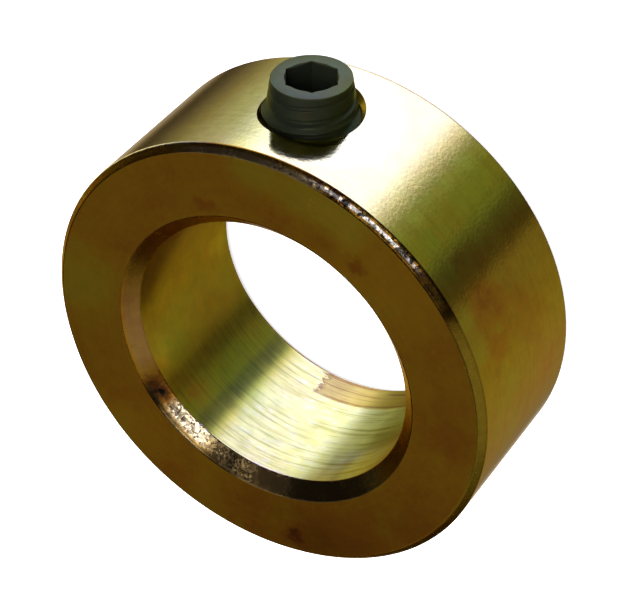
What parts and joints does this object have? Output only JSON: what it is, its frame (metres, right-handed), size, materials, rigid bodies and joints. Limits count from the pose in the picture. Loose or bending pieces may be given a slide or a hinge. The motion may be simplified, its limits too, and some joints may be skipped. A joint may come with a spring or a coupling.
{
  "type": "shaft collar with set screw",
  "caption": "Solid steel shaft collar: a short yellow-plated ring with a chamfered bore and one radial hexagon-socket set screw that clamps it to a shaft.",
  "frame": {"origin": "centre of the shaft bore, half way along its length", "axes": "+Z along the bore's axis, towards the end face that the picture shows; +X out along the set screw; the collar rests on its lower end face, at z = -8 mm"},
  "size_m": [0.0428, 0.04, 0.016],
  "materials": {
    "yellow_chromate_steel": "turned steel, zinc plated and yellow chromated: iridescent gold, olive and brown, satin gloss",
    "black_oxide_steel": "hardened steel, black oxide, oiled"
  },
  "bodies": {
    "ring": {"collar_ring": "yellow_chromate_steel"},
    "screw": {"set_screw": "black_oxide_steel"}
  },
  "joints": [
    {"name": "screw_travel", "type": "slide", "parent": "ring", "child": "screw", "axis": [1, 0, 0], "range_m": [-0.0025, 0.0025]}
  ]
}
